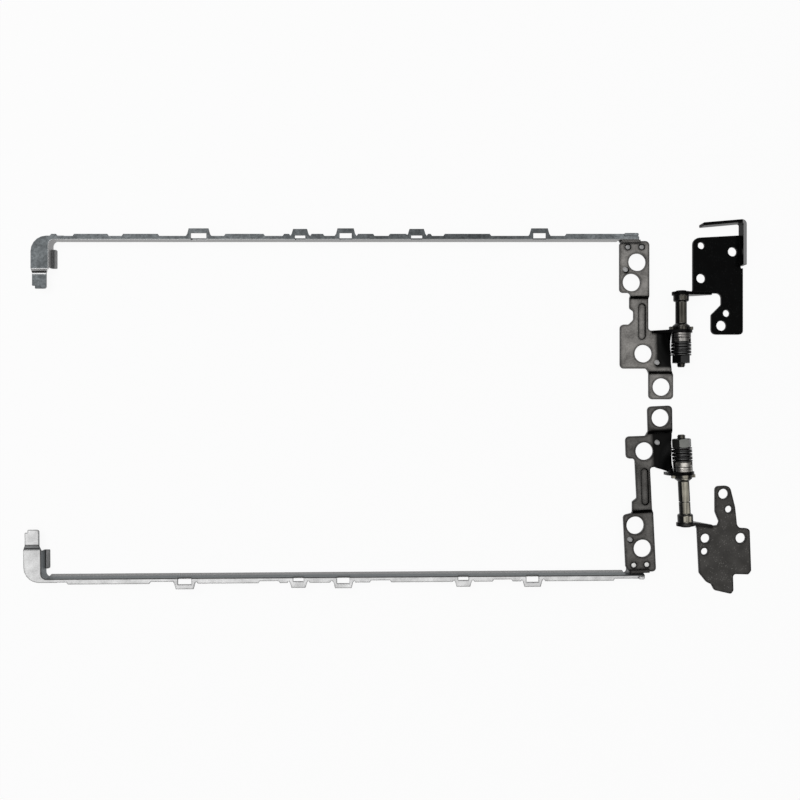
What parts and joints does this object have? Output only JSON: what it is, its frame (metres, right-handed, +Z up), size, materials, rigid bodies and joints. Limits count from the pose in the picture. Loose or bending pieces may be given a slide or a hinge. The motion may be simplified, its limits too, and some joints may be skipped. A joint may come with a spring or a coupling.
{
  "type": "pair of laptop hinges",
  "caption": "Pair of laptop hinges lying open: long screen rails, stepped display brackets, friction knuckles with disc springs, and flat base brackets.",
  "frame": {"origin": "centre of the bottom of the pair as it lies on a table", "axes": "+X along the screen rails towards the hinges, +Y from the left hinge to the right hinge, +Z up from the table"},
  "size_m": [0.2524, 0.13, 0.0085],
  "materials": {
    "right_zinc_plate": "zinc plated, satin",
    "left_zinc_plate": "zinc plated, pale satin",
    "right_satin_steel": "grey-brown satin plate",
    "left_satin_steel": "dark satin plate",
    "rivet_steel": "bright pressed heads",
    "dark_steel": "dark turned steel",
    "right_black_coat": "gloss black coat",
    "left_black_coat": "dark warm grey coat",
    "bright_steel": "bright washers",
    "black_spring": "blackened spring steel",
    "black_nut": "blackened nut"
  },
  "bodies": {
    "root": {"right_rail": "right_zinc_plate", "right_display_bracket": "right_satin_steel", "right_rivets": "rivet_steel", "right_friction_washer": "bright_steel", "left_rail": "left_zinc_plate", "left_display_bracket": "left_satin_steel", "left_rivets": "rivet_steel", "left_friction_washer": "bright_steel"},
    "right_base": {"right_shaft": "dark_steel", "right_base_bracket": "right_black_coat", "right_stop_plate": "dark_steel", "right_key_washer": "bright_steel", "right_pressure_washer": "bright_steel", "right_disc_spring_1": "black_spring", "right_disc_spring_2": "black_spring", "right_disc_spring_3": "black_spring", "right_disc_spring_4": "black_spring", "right_disc_spring_5": "black_spring", "right_disc_spring_6": "black_spring", "right_disc_spring_7": "black_spring", "right_disc_spring_8": "black_spring", "right_nut": "black_nut"},
    "left_base": {"left_shaft": "dark_steel", "left_base_bracket": "left_black_coat", "left_stop_plate": "dark_steel", "left_key_washer": "bright_steel", "left_pressure_washer": "bright_steel", "left_disc_spring_1": "black_spring", "left_disc_spring_2": "black_spring", "left_disc_spring_3": "black_spring", "left_disc_spring_4": "black_spring", "left_disc_spring_5": "black_spring", "left_disc_spring_6": "black_spring", "left_disc_spring_7": "black_spring", "left_disc_spring_8": "black_spring", "left_nut": "black_nut"}
  },
  "joints": [
    {"name": "right_hinge", "type": "hinge", "parent": "root", "child": "right_base", "pos_m": [0.1005, 0.0267, 0.0048], "axis": [0, -1, 0], "range_deg": [0, 180]},
    {"name": "left_hinge", "type": "hinge", "parent": "root", "child": "left_base", "pos_m": [0.1012, -0.0231, 0.0048], "axis": [0.0488, -0.9988, 0], "range_deg": [0, 180]}
  ]
}
